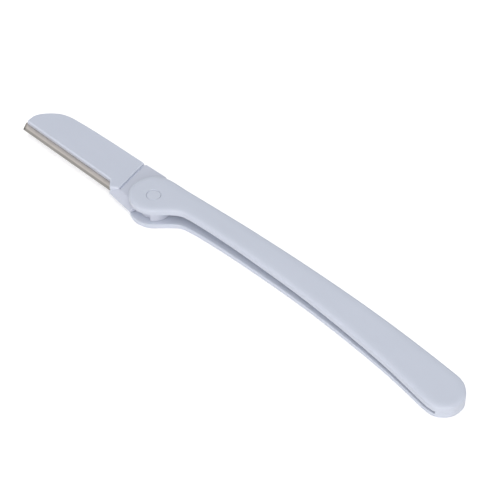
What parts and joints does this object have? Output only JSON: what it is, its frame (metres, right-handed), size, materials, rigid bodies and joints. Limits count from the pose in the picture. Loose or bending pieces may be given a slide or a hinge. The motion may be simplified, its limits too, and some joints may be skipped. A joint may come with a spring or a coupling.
{
  "type": "eyebrow razor",
  "caption": "Folding eyebrow razor: a slim tapered plastic handle with a slot, and a steel strip in a plastic holder that folds into it on a pivot pin.",
  "frame": {"origin": "on the pivot axis, in the handle's flat back face, on which the razor lies", "axes": "+X along the handle to its tail, +Y across it to the spine, +Z out through the front face; the blade is open, along -X, its edge towards -Y"},
  "size_m": [0.162, 0.0176, 0.0076],
  "materials": {
    "handle_plastic": "satin",
    "holder_plastic": "satin",
    "pin_plastic": "satin",
    "blade_steel": "brushed"
  },
  "bodies": {
    "handle": {"back_handle_shell": "handle_plastic", "front_handle_shell": "handle_plastic", "pivot_pin": "pin_plastic"},
    "blade_unit": {"blade_tang": "holder_plastic", "steel_blade": "blade_steel", "back_blade_cover": "holder_plastic", "front_blade_cover": "holder_plastic"}
  },
  "joints": [
    {"name": "blade_fold", "type": "hinge", "parent": "handle", "child": "blade_unit", "pos_m": [0, 0, 0], "axis": [0, 0, 1], "range_deg": [0, 180]}
  ]
}
